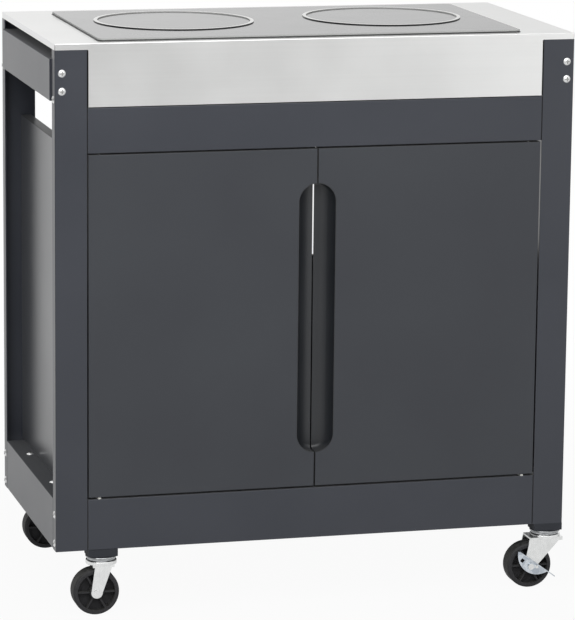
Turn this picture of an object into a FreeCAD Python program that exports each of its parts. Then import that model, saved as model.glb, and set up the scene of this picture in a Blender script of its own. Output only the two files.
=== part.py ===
import FreeCAD, Part
import os
import re

# Outdoor kitchen unit: a sheet-steel cabinet on four castors, with two flush doors that share one scooped
# pull, and a steel worktop that carries a glass hob with two zones.
# Millimetres, +Z up, the front faces -Y, and the origin is on the floor under the middle of the cabinet.

SIZES = {
    # cabinet
    "width": 850.0,               # over the outer faces of the posts
    "depth": 450.0,               # front face to rear face of the posts
    "worktop_height": 920.0,      # floor to the steel surface
    "sheet": 1.5,                 # rails, worktop, floor and back panel
    "post_sheet": 2.0,
    "front_flange": 51.0,         # width of a front post, seen from the front
    "rear_flange": 55.0,
    "side_flange": 22.0,          # width of every post, seen from the side
    "bend": 1.2,                  # outside radius of a folded edge
    "seam": 1.8,                  # gap between a rail and the post beside it
    "tab": 18.0,                  # how far a rail's end tab reaches behind its post
    "tab_root": 12.0,             # how far the tab runs back inside its rail
    "lip": 10.0,                  # fold round the edge of the worktop, over the post tops
    "apron_height": 100.0,        # front fold of the worktop between the posts
    "apron_return": 15.0,
    "apron_gap": 2.6,             # between the apron and the post beside it
    "notch_round": 2.2,           # in the corner where the apron leaves the lip
    "shadow_gap": 1.5,            # between the apron and the upper front rail
    "upper_rail": 71.5,
    "lower_rail": 83.0,
    "rail_flange": 30.0,          # folds along the top and bottom of the front and rear rails
    "handle_gap": 16.0,           # between the worktop's lip and a handle rail
    "handle_height": 65.5,
    "handle_flange": 28.0,
    "handle_proud": 3.5,          # a handle rail stands out past the posts by this much
    # panels
    "panel_sheet": 1.2,
    "panel_recess": 31.0,         # side panel behind the outer face of the posts
    "panel_fold": 17.0,
    "panel_drop": 0.5,            # side panel's top under the line of the upper front rail
    "panel_gap": 1.0,             # between the side panels and the floor or back panel
    "back_height": 299.0,
    "back_fold": 12.0,
    "vent_count": 6.0,            # slots in each of the back panel's two vents
    "vent_pitch": 10.0,
    "vent_drop": 57.0,            # first slot under the back panel's top
    "vent_offset": 119.0,         # middle of a vent from the middle of the panel
    "vent_length": 90.0,
    "vent_slot": 3.0,
    "floor_lap": 6.0,             # floor panel on the lower front rail
    # doors
    "door_side_gap": 2.4,
    "meeting_gap": 2.2,
    "door_top_gap": 2.5,
    "door_bottom_gap": 3.0,
    "door_thick": 20.0,
    "door_sheet": 1.2,
    "door_bend": 1.0,             # outside radius round a door's face
    "pull_half": 30.0,            # half the width of the scooped pull in the door face
    "pull_depth": 26.5,
    "pull_length": 438.5,
    "pull_cap": 24.0,             # height of the pressed cap at either end of the pull
    "pull_cap_round": 7.0,        # round in a cap, between its wall and the bottom of the trough
    "pull_seam": 21.0,            # weld between the pull's two strips, from the meeting line
    "pin_radius": 4.0,
    "pin_play": 0.05,
    "pin_inset": 18.0,            # pivot from the hinge edge of its door
    "pin_setback": 10.0,          # pivot behind the door face
    "pin_reach": 4.0,             # pin past the sheet of its rail
    "pivot_plate": 4.0,
    "pivot_half_width": 13.0,
    "pivot_half_depth": 7.5,
    "bush_radius": 4.8,
    "bush_collar": 6.4,
    "bush_flange": 1.5,           # thickness of the collar, and how far the sleeve stands out of its rail
    "bush_reach": 3.0,            # bush past the sheet of its rail
    "catch_offset": 14.0,         # magnet catch from the meeting line
    "catch_width": 26.0,
    "catch_depth": 14.0,
    "catch_height": 24.0,
    "catch_gap": 0.5,             # magnet to strike plate with the door shut
    "strike_margin": 2.0,         # strike plate past the magnet on each side
    "strike_foot": 10.0,
    # hob
    "hob_x": -4.0,
    "hob_y": -11.0,
    "glass_width": 692.0,
    "glass_depth": 384.0,
    "glass_thickness": 4.0,
    "glass_corner": 9.0,
    "glass_lap": 12.0,            # glass on the worktop round the cut-out
    "tray_gap": 1.0,
    "tray_sheet": 1.0,
    "tray_depth": 60.0,
    "zone_spread": 176.0,         # zone centres left and right of the hob's middle
    "zone_y": 16.0,
    "ring_radius": 130.5,
    "ring_band": 6.0,
    "ring_height": 1.5,
    "coil_radius": 108.0,
    "coil_thickness": 8.0,
    "coil_air": 2.0,              # coil under the glass
    "coil_core": 26.0,
    "board_width": 260.0,
    "board_depth": 52.0,
    "board_sheet": 1.6,
    "board_margin": 12.0,         # board from the tray's front wall
    "standoff": 8.0,
    "standoff_radius": 3.0,
    "standoff_inset": 8.0,
    "sink_width": 70.0,
    "sink_height": 24.0,
    "fin_count": 7.0,
    "fin": 2.0,
    "capacitor_radius": 9.0,
    "capacitor_height": 26.0,
    "gland_x": 250.0,             # cable gland from the hob's middle
    "gland_rise": 25.0,           # gland over the tray's floor
    "gland_thread": 9.0,
    "gland_collar": 13.0,
    "gland_nut": 5.0,
    "gland_dome": 14.0,
    "gland_bore": 5.0,
    "cord_hole": 10.0,            # hole in the rear rail, in line with the gland
    "grommet_bore": 7.0,
    "grommet_lip": 1.5,
    "grommet_flange": 3.0,        # lip past the hole all round
    # castors
    "block_width": 48.0,
    "block_depth": 33.0,
    "block_height": 12.0,
    "castor_plate": 2.5,
    "plate_radius": 25.5,
    "upper_cup": 4.4,
    "race_gap": 0.3,
    "lower_cup": 3.8,
    "cup_radius": 25.0,
    "cup_step": 2.5,              # upper cup smaller than the lower one
    "cup_round": 1.0,
    "king_radius": 5.0,
    "king_head": 8.0,
    "king_flange": 2.0,
    "king_play": 0.05,
    "fork_sheet": 2.5,
    "crown_gap": 7.5,             # wheel to the fork's crown
    "wheel_radius": 37.5,
    "wheel_width": 30.0,
    "tread_round": 4.0,
    "rim_wall": 7.0,
    "web": 7.0,
    "rib": 3.0,
    "rib_inset": 2.0,
    "rib_pairs": 3.0,             # ribs that run right across the wheel
    "hub_radius": 11.0,
    "hub_width": 32.0,
    "hub_play": 0.5,
    "axle_radius": 3.0,
    "axle_play": 0.05,
    "axle_head": 5.0,
    "axle_head_height": 1.5,
    "skirt_height": 6.0,          # upright edge of a fork's crown
    "plain_trail": 10.5,          # swivel axis to axle, castor without a brake
    "plain_leg_left": 13.0,
    "plain_leg_right": 16.0,
    "plain_skirt_left": 17.0,
    "plain_skirt_right": 18.0,
    "plain_foot": 18.5,
    "brake_trail": 30.0,          # swivel axis to axle, castor with a brake
    "brake_leg_left": 31.0,
    "brake_leg_right": 24.0,
    "brake_skirt_left": 31.0,
    "brake_skirt_right": 25.0,
    "brake_foot": 22.0,
    "lever_chord": 64.0,
    "lever_height": 21.0,
    "lever_rise": 10.0,           # chord of the lever above the axle
    "lever_shift": 2.0,           # middle of the lever left of the axle
    "lever_sheet": 1.5,
    "lever_flange": 8.0,
    "lever_tip": 13.0,            # folded edge past the leaf on the free end
    "lever_hub": 6.0,
    "lever_hub_height": 3.0,
    "lever_gap": 0.4,             # lever to the fork and to the axle's head
    "lever_slot": 6.0,
    "lever_slot_offset": 18.0,    # slot left of the axle
    "lever_tilt": 36.0,           # degrees, free end down
    # screws
    "screw_radius": 6.0,
    "screw_rise": 2.8,
    "screw_slot": 2.0,
    "screw_slot_length": 6.8,
    "screw_slot_depth": 1.8,
    "screw_inset": 11.5,          # front screws from the outer face of the post
    "screw_drop": 36.3,           # first front screw under the post's top
    "screw_pitch": 28.2,
    "side_screw_rise": 12.0,      # side screws from the bottom of a post, and again above
    "side_screw_pitch": 47.0,
    "handle_screw_rise": 3.5,     # side screw over a handle rail's lower edge
    "ledge_screw_x": 20.5,        # screws on a lower side rail, from its outer face
    "ledge_screw_y": 99.0,
    # how far a cutting block reaches past what it cuts
    "spare": 2.0,
}

doc = FreeCAD.newDocument("OutdoorKitchen")
sheet = doc.addObject("Spreadsheet::Sheet", "Sizes")
for row, (alias, value) in enumerate(SIZES.items(), 1):
    sheet.set(f"A{row}", alias)
    sheet.set(f"B{row}", str(value))
    sheet.setAlias(f"B{row}", alias)
doc.recompute()

# Levels and places that several pieces share, as formulas on the sheet
CROWN = "(2 * wheel_radius + crown_gap)"
RACE = f"({CROWN} + fork_sheet + lower_cup + race_gap)"
PLATE_BOTTOM = f"({RACE} + upper_cup)"
BLOCK_BOTTOM = f"({PLATE_BOTTOM} + castor_plate)"
POST_BOTTOM = f"({BLOCK_BOTTOM} + block_height)"
POST_TOP = "(worktop_height - lip)"
LOWER_TOP = f"({POST_BOTTOM} + lower_rail)"
APRON_BOTTOM = "(worktop_height - apron_height)"
UPPER_TOP = f"({APRON_BOTTOM} - shadow_gap)"
UPPER_BOTTOM = f"({UPPER_TOP} - upper_rail)"
HANDLE_TOP = f"({POST_TOP} - handle_gap)"
HANDLE_BOTTOM = f"({HANDLE_TOP} - handle_height)"
PANEL_TOP = f"({UPPER_BOTTOM} - panel_drop)"
PANEL_INNER = "(width / 2 - panel_recess - panel_fold)"
SIDE_RAIL_END = "(depth / 2 - side_flange - seam)"
POST_INSIDE = "(depth / 2 - post_sheet)"
FRONT_RAIL_END = "(width / 2 - front_flange - seam)"
APRON_END = "(width / 2 - front_flange - apron_gap)"
REAR_RAIL_END = "(width / 2 - rear_flange - seam)"
FRONT = "(-depth / 2)"
DOOR_OUTER = "(width / 2 - front_flange - door_side_gap)"
DOOR_INNER = "(meeting_gap / 2)"
DOOR_BOTTOM = f"({LOWER_TOP} + door_bottom_gap)"
DOOR_TOP = f"({UPPER_BOTTOM} - door_top_gap)"
DOOR_BACK = f"({FRONT} + door_thick)"
DOOR_MIDDLE = f"(({DOOR_BOTTOM} + {DOOR_TOP}) / 2)"
PIN_X = f"({DOOR_OUTER} - pin_inset)"
PIN_Y = f"({FRONT} + pin_setback)"
PULL_RADIUS = "((pull_half ^ 2 + pull_depth ^ 2) / (2 * pull_depth))"
PULL_Y = f"({FRONT} + pull_depth - {PULL_RADIUS})"
GLASS_TOP = "(worktop_height + glass_thickness)"
CUT_HALF_WIDTH = "(glass_width / 2 - glass_lap)"
CUT_HALF_DEPTH = "(glass_depth / 2 - glass_lap)"
TRAY_HALF_WIDTH = f"({CUT_HALF_WIDTH} - tray_gap)"
TRAY_HALF_DEPTH = f"({CUT_HALF_DEPTH} - tray_gap)"
TRAY_BOTTOM = "(worktop_height - tray_depth)"
TRAY_FLOOR = f"({TRAY_BOTTOM} + tray_sheet)"
GLAND_X = "(hob_x + gland_x)"
GLAND_Z = f"({TRAY_FLOOR} + gland_rise)"
FORK_HALF = "(hub_width / 2 + hub_play + fork_sheet)"
LEFT_SWIVEL = f"(block_width / 2 - {FRONT_RAIL_END})"
RIGHT_SWIVEL = "(width / 2 - block_width / 2)"
SWIVEL_Y = "(depth / 2 - block_depth / 2)"

SIDES = {"left": -1, "right": 1}
ENDS = {"front": -1, "rear": 1}
nodes = []


def formula(text):
    """The same formula with every size written as a cell of the sheet."""
    return re.sub(r"[a-z]\w*", lambda word: f"Sizes.{word[0]}" if word[0] in SIZES else word[0], text)


def bind(item, **places):
    """Ties properties of an object to formulas; x, y and z are its position."""
    for name, text in places.items():
        path = f".Placement.Base.{name}" if name in "xyz" else name
        item.setExpression(path, formula(text))
    return item


def span(side, inner, outer):
    """A stretch between two distances from a middle plane, on one side of it."""
    if side > 0:
        return inner, outer
    return f"-({outer})", f"-({inner})"


def both(half):
    """A stretch as long on either side of a middle plane."""
    return f"-({half})", half


def about(middle, half):
    return f"{middle} - {half}", f"{middle} + {half}"


def box(x, y, z):
    item = doc.addObject("Part::Box", "Block")
    bind(item, Length=f"{x[1]} - ({x[0]})", Width=f"{y[1]} - ({y[0]})", Height=f"{z[1]} - ({z[0]})")
    return bind(item, x=x[0], y=y[0], z=z[0])


def centred_box(half_x, half_y, half_z):
    """A block round the origin, free to be turned there."""
    item = doc.addObject("Part::Wedge", "CentredBlock")
    bind(item, Xmin=f"-({half_x})", X2min=f"-({half_x})", Xmax=half_x, X2max=half_x)
    bind(item, Ymin=f"-({half_y})", Ymax=half_y)
    return bind(item, Zmin=f"-({half_z})", Z2min=f"-({half_z})", Zmax=half_z, Z2max=half_z)


TURNS = {
    "x": FreeCAD.Rotation(FreeCAD.Vector(0, 1, 0), 90),
    "y": FreeCAD.Rotation(FreeCAD.Vector(1, 0, 0), -90),
    "z": FreeCAD.Rotation(),
}


def rod(x, y, z, radius):
    """A cylinder along the axis whose place is given as a stretch."""
    places = {"x": x, "y": y, "z": z}
    axis = next(name for name, place in places.items() if isinstance(place, tuple))
    low, high = places[axis]
    item = doc.addObject("Part::Cylinder", "Rod")
    item.Placement = FreeCAD.Placement(FreeCAD.Vector(), TURNS[axis])
    places[axis] = low
    bind(item, Radius=radius, Height=f"{high} - ({low})")
    return bind(item, **places)


def fuse(*pieces):
    item = doc.addObject("Part::MultiFuse", "Joined")
    item.Shapes = list(pieces)
    item.Refine = True
    return item


def cut(base, *tools):
    for tool in tools:
        item = doc.addObject("Part::Cut", "Cut")
        item.Base = base
        item.Tool = tool
        base = item
    return base


def common(*pieces):
    item = doc.addObject("Part::MultiCommon", "Overlap")
    item.Shapes = list(pieces)
    return item


def group(pieces):
    item = doc.addObject("Part::Compound", "Group")
    item.Links = list(pieces)
    return item


def rounded(base, radius, wanted):
    """The piece with a round along each edge that the test picks."""
    doc.recompute()
    reach = float(sheet.get(radius))
    item = doc.addObject("Part::Fillet", "Rounded")
    item.Base = base
    item.Edges = [(number, reach, reach) for number, edge in enumerate(base.Shape.Edges, 1) if wanted(edge)]
    return item


NEAR = 1e-4


def edge_test(directions, **places):
    """Picks straight edges along the named axes that lie at the given distances from the middle planes."""
    wanted = {axis: sheet.evalExpression(formula(text)) for axis, text in places.items()}

    def picked(edge):
        ends = [vertex.Point for vertex in edge.Vertexes]
        if len(ends) != 2:
            return False
        runs = [abs(getattr(ends[0], axis) - getattr(ends[1], axis)) for axis in directions]
        if abs(edge.Length - max(runs)) > NEAR:
            return False
        return all(abs(abs(getattr(end, axis)) - wanted[axis]) < NEAR for end in ends for axis in wanted)

    return picked


def round_edge(edge):
    """Picks every circular edge."""
    return isinstance(edge.Curve, Part.Circle)


def node(label, item):
    item.Label = label
    nodes.append(item)


# Posts: angle section, open towards the inside of the cabinet
for side_name, side in SIDES.items():
    for end_name, end in ENDS.items():
        face = box(span(side, f"width / 2 - {end_name}_flange", "width / 2"),
                   span(end, POST_INSIDE, "depth / 2"), (POST_BOTTOM, POST_TOP))
        wing = box(span(side, "width / 2 - post_sheet", "width / 2"),
                   span(end, "depth / 2 - side_flange", "depth / 2"), (POST_BOTTOM, POST_TOP))
        corner = edge_test("z", x="width / 2", y="depth / 2")
        node(f"{end_name}_{side_name}_post", rounded(fuse(face, wing), "bend", corner))

# Side rails: channels between the posts, with end tabs behind the posts' side flanges.
# The handle rails stand proud of the posts and step in to their tabs at both ends; the lower rails are flush
# and carry the side panels.
for side_name, side in SIDES.items():
    length = both(SIDE_RAIL_END)
    tab_x = span(side, "width / 2 - post_sheet - sheet", "width / 2 - post_sheet")
    tab_ys = [span(end, f"{SIDE_RAIL_END} - tab_root", POST_INSIDE) for end in ENDS.values()]

    outer = "width / 2 + handle_proud"
    fold_x = span(side, f"{outer} - handle_flange", outer)
    pieces = [box(span(side, f"{outer} - sheet", outer), length, (HANDLE_BOTTOM, HANDLE_TOP)),
              box(fold_x, length, (f"{HANDLE_TOP} - sheet", HANDLE_TOP)),
              box(fold_x, length, (HANDLE_BOTTOM, f"{HANDLE_BOTTOM} + sheet"))]
    pieces += [box(tab_x, tab_y, (HANDLE_BOTTOM, HANDLE_TOP)) for tab_y in tab_ys]
    step_x = span(side, "width / 2 - post_sheet - sheet", outer)
    step_ys = [span(end, f"{SIDE_RAIL_END} - sheet", SIDE_RAIL_END) for end in ENDS.values()]
    pieces += [box(step_x, step_y, (HANDLE_BOTTOM, HANDLE_TOP)) for step_y in step_ys]
    node(f"{side_name}_handle_rail", rounded(fuse(*pieces), "bend", edge_test("y", x=outer)))

    ledge_x = span(side, "width / 2 - front_flange", "width / 2")
    pieces = [box(span(side, "width / 2 - sheet", "width / 2"), length, (POST_BOTTOM, LOWER_TOP)),
              box(ledge_x, length, (f"{LOWER_TOP} - sheet", LOWER_TOP)),
              box(ledge_x, length, (POST_BOTTOM, f"{POST_BOTTOM} + sheet"))]
    foot_x = span(side, "width / 2 - front_flange", "width / 2 - post_sheet")
    foot_y = both(f"{POST_INSIDE} - sheet")
    pieces += [box(foot_x, foot_y, (POST_BOTTOM, f"{POST_BOTTOM} + sheet"))]
    pieces += [box(tab_x, tab_y, (POST_BOTTOM, LOWER_TOP)) for tab_y in tab_ys]
    node(f"{side_name}_lower_rail", rounded(fuse(*pieces), "bend", edge_test("y", x="width / 2")))


def cross_rail(end, half_length, z):
    """A channel across the front or rear, folded inwards, with tabs behind its posts."""
    length = both(half_length)
    fold_y = span(end, "depth / 2 - rail_flange", "depth / 2")
    pieces = [box(length, span(end, "depth / 2 - sheet", "depth / 2"), z),
              box(length, fold_y, (f"{z[1]} - sheet", z[1])),
              box(length, fold_y, (z[0], f"{z[0]} + sheet"))]
    tab_y = span(end, f"{POST_INSIDE} - sheet", POST_INSIDE)
    for side in SIDES.values():
        tab_x = span(side, f"{half_length} - tab_root", f"{half_length} + seam + tab")
        pieces.append(box(tab_x, tab_y, z))
    return rounded(fuse(*pieces), "bend", edge_test("x", y="depth / 2"))


def bush_holes(z):
    return [rod(f"{side} * {PIN_X}", PIN_Y, z, "bush_radius") for side in SIDES.values()]


# Front and rear rails; the front pair has holes for the pivot bushes of the doors, the upper rear one for the cord
upper_hole = (f"{UPPER_BOTTOM} - spare", f"{UPPER_BOTTOM} + sheet + spare")
lower_hole = (f"{LOWER_TOP} - sheet - spare", f"{LOWER_TOP} + spare")
node("front_upper_rail", cut(cross_rail(-1, FRONT_RAIL_END, (UPPER_BOTTOM, UPPER_TOP)), *bush_holes(upper_hole)))
node("front_lower_rail", cut(cross_rail(-1, FRONT_RAIL_END, (POST_BOTTOM, LOWER_TOP)), *bush_holes(lower_hole)))
cord_hole = rod(GLAND_X, ("depth / 2 - sheet - spare", "depth / 2 + spare"), GLAND_Z, "cord_hole")
node("rear_upper_rail", cut(cross_rail(1, REAR_RAIL_END, (APRON_BOTTOM, POST_TOP)), cord_hole))
node("rear_lower_rail", cross_rail(1, REAR_RAIL_END, (POST_BOTTOM, LOWER_TOP)))

# Side panels: shallow pans with all four edges folded inwards, standing on the lower side rails
for side_name, side in SIDES.items():
    pan = box(span(side, PANEL_INNER, "width / 2 - panel_recess"), both(POST_INSIDE), (LOWER_TOP, PANEL_TOP))
    hollow = box(span(side, f"{PANEL_INNER} - spare", "width / 2 - panel_recess - panel_sheet"),
                 both(f"{POST_INSIDE} - panel_sheet"), (f"{LOWER_TOP} + panel_sheet", f"{PANEL_TOP} - panel_sheet"))
    top_edge = edge_test("y", x="width / 2 - panel_recess", z=PANEL_TOP)
    node(f"{side_name}_side_panel", rounded(cut(pan, hollow), "bend", top_edge))

# Back panel, half the height of the cabinet with a folded top edge, and floor panel
back_width = both(f"{PANEL_INNER} - panel_gap")
back_top = f"{LOWER_TOP} + back_height"
back = box(back_width, (f"{POST_INSIDE} - sheet", POST_INSIDE), (LOWER_TOP, back_top))
fold = box(back_width, (f"{POST_INSIDE} - back_fold", POST_INSIDE), (f"{back_top} - sheet", back_top))
slot_y = (f"{POST_INSIDE} - sheet - spare", f"{POST_INSIDE} + spare")
vents = []
for side in SIDES.values():
    slot_x = about(f"{side} * vent_offset", "(vent_length / 2 - vent_slot / 2)")
    for number in range(int(SIZES["vent_count"])):
        slot_z = f"{back_top} - vent_drop - {number} * vent_pitch"
        vents.append(box(slot_x, slot_y, about(slot_z, "vent_slot / 2")))
        vents += [rod(end_x, slot_y, slot_z, "vent_slot / 2") for end_x in slot_x]
node("back_panel", cut(fuse(back, fold), fuse(*vents)))
floor_y = (f"{FRONT} + rail_flange - floor_lap", f"{POST_INSIDE} - sheet")
node("floor_panel", box(back_width, floor_y, (LOWER_TOP, f"{LOWER_TOP} + sheet")))

# Worktop: a tray turned down over the posts, with a tall apron between the front posts and the hob's cut-out
slab = box(both("width / 2"), both("depth / 2"), (POST_TOP, "worktop_height"))
under = box(both("width / 2 - sheet"), both("depth / 2 - sheet"), (f"{POST_TOP} - spare", "worktop_height - sheet"))
apron = box(both(APRON_END), (FRONT, f"{FRONT} + sheet"), (APRON_BOTTOM, f"{POST_TOP} + sheet"))
hem = box(both(APRON_END), (FRONT, f"{FRONT} + apron_return"), (APRON_BOTTOM, f"{APRON_BOTTOM} + sheet"))
opening = box(about("hob_x", CUT_HALF_WIDTH), about("hob_y", CUT_HALF_DEPTH), (POST_TOP, "worktop_height + spare"))
worktop = cut(fuse(cut(slab, under), apron, hem), opening)
worktop = rounded(worktop, "notch_round", edge_test("y", x=APRON_END, z=POST_TOP))
side_edges = edge_test("y", x="width / 2", z="worktop_height")
end_edges = edge_test("x", y="depth / 2", z="worktop_height")
corners = edge_test("z", x="width / 2", y="depth / 2")
node("worktop", rounded(worktop, "bend", lambda edge: side_edges(edge) or end_edges(edge) or corners(edge)))

# Hob: glass on the worktop, two raised trim rings, and the works in a tray below
glass = box(about("hob_x", "glass_width / 2"), about("hob_y", "glass_depth / 2"), ("worktop_height", GLASS_TOP))
node("hob_glass", rounded(glass, "glass_corner", edge_test("z")))
tray = box(about("hob_x", TRAY_HALF_WIDTH), about("hob_y", TRAY_HALF_DEPTH), (TRAY_BOTTOM, "worktop_height"))
tray_inside = box(about("hob_x", f"({TRAY_HALF_WIDTH} - tray_sheet)"),
                  about("hob_y", f"({TRAY_HALF_DEPTH} - tray_sheet)"), (TRAY_FLOOR, "worktop_height + spare"))
tray_back = f"(hob_y + {TRAY_HALF_DEPTH})"
gland_hole = rod(GLAND_X, (f"{tray_back} - tray_sheet - spare", f"{tray_back} + spare"), GLAND_Z, "gland_thread")
node("hob_tray", cut(tray, tray_inside, gland_hole))
for side_name, side in SIDES.items():
    x = f"hob_x + {side} * zone_spread"
    ring_z = (GLASS_TOP, f"{GLASS_TOP} + ring_height")
    node(f"{side_name}_zone_ring", cut(rod(x, "zone_y", ring_z, "ring_radius"),
                                       rod(x, "zone_y", ring_z, "ring_radius - ring_band")))
    coil_top = "(worktop_height - coil_air)"
    disc = rod(x, "zone_y", (f"{coil_top} - coil_thickness", coil_top), "coil_radius")
    core = rod(x, "zone_y", (TRAY_FLOOR, coil_top), "coil_core")
    node(f"{side_name}_coil", fuse(disc, core))

# Control board on standoffs behind the tray's front wall, with a finned heat sink and two capacitors
board_y = f"(hob_y - {TRAY_HALF_DEPTH} + tray_sheet + board_margin)"
board_z = f"({TRAY_FLOOR} + standoff)"
board_top = f"({board_z} + board_sheet)"
board = [box(about("hob_x", "board_width / 2"), (board_y, f"{board_y} + board_depth"), (board_z, board_top))]
for side in SIDES.values():
    foot_x = f"hob_x + {side} * (board_width / 2 - standoff_inset)"
    for foot_y in (f"{board_y} + standoff_inset", f"{board_y} + board_depth - standoff_inset"):
        board.append(rod(foot_x, foot_y, (TRAY_FLOOR, board_z), "standoff_radius"))
    can_x = f"hob_x + {side} * (sink_width / 2 + 2 * capacitor_radius)"
    can_y = f"{board_y} + board_depth / 2"
    board.append(rod(can_x, can_y, (board_top, f"{board_top} + capacitor_height"), "capacitor_radius"))
sink_y = (f"{board_y} + standoff_inset", f"{board_y} + board_depth - standoff_inset")
board.append(box(about("hob_x", "sink_width / 2"), sink_y, (board_top, f"{board_top} + fin")))
for number in range(int(SIZES["fin_count"])):
    fin_x = f"hob_x - sink_width / 2 + {number} * (sink_width - fin) / (fin_count - 1)"
    board.append(box((fin_x, f"{fin_x} + fin"), sink_y, (board_top, f"{board_top} + sink_height")))
node("control_board", fuse(*board))

# Cable gland in the tray's rear wall: nut inside, collar and dome outside, bored for the cord
nut_front = f"{tray_back} - tray_sheet - gland_nut"
dome_end = f"{tray_back} + gland_dome"
thread = rod(GLAND_X, (nut_front, dome_end), GLAND_Z, "gland_thread")
nut = rod(GLAND_X, (nut_front, f"{tray_back} - tray_sheet"), GLAND_Z, "gland_collar")
collar = rod(GLAND_X, (tray_back, f"{tray_back} + gland_nut"), GLAND_Z, "gland_collar")
bore = rod(GLAND_X, (f"{nut_front} - spare", f"{dome_end} + spare"), GLAND_Z, "gland_bore")
gland = cut(fuse(thread, nut, collar), bore)

# Grommet in the rear rail's cord hole: a sleeve with a lip on either side of the sheet
lip_radius = "cord_hole + grommet_flange"
rail_inside = "depth / 2 - sheet"
sleeve_y = (f"{rail_inside} - grommet_lip", "depth / 2 + grommet_lip")
sleeve = rod(GLAND_X, sleeve_y, GLAND_Z, "cord_hole - pin_play")
lips = [rod(GLAND_X, (sleeve_y[0], rail_inside), GLAND_Z, lip_radius),
        rod(GLAND_X, ("depth / 2", sleeve_y[1]), GLAND_Z, lip_radius)]
eye = rod(GLAND_X, (f"{sleeve_y[0]} - spare", f"{sleeve_y[1]} + spare"), GLAND_Z, "grommet_bore")
node("cable_gland", group([gland, cut(fuse(sleeve, *lips), eye)]))


def deep_edge(edge):
    """Picks an edge that reaches past the middle of the pull's depth."""
    return edge.BoundBox.YMax > sheet.evalExpression(formula(f"{FRONT} + pull_depth / 2"))


def trough(wall):
    """The hollow of the scooped pull, an upright round trough with steep ends, grown all round by a wall."""
    ends = about(DOOR_MIDDLE, "(pull_length / 2 - pull_half)")
    round_run = (f"{ends[0]} - 2 * pull_half", f"{ends[1]} + 2 * pull_half")
    reach = f"pull_half + {wall}"
    outline_y = (f"{FRONT} - spare", f"{FRONT} + 2 * pull_depth")
    outline = [box(both(reach), outline_y, ends)]
    outline += [rod("0", outline_y, z, reach) for z in ends]
    hollow = common(rod("0", PULL_Y, round_run, f"{PULL_RADIUS} + {wall}"), fuse(*outline))
    return rounded(hollow, "pull_cap_round", deep_edge)


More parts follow.
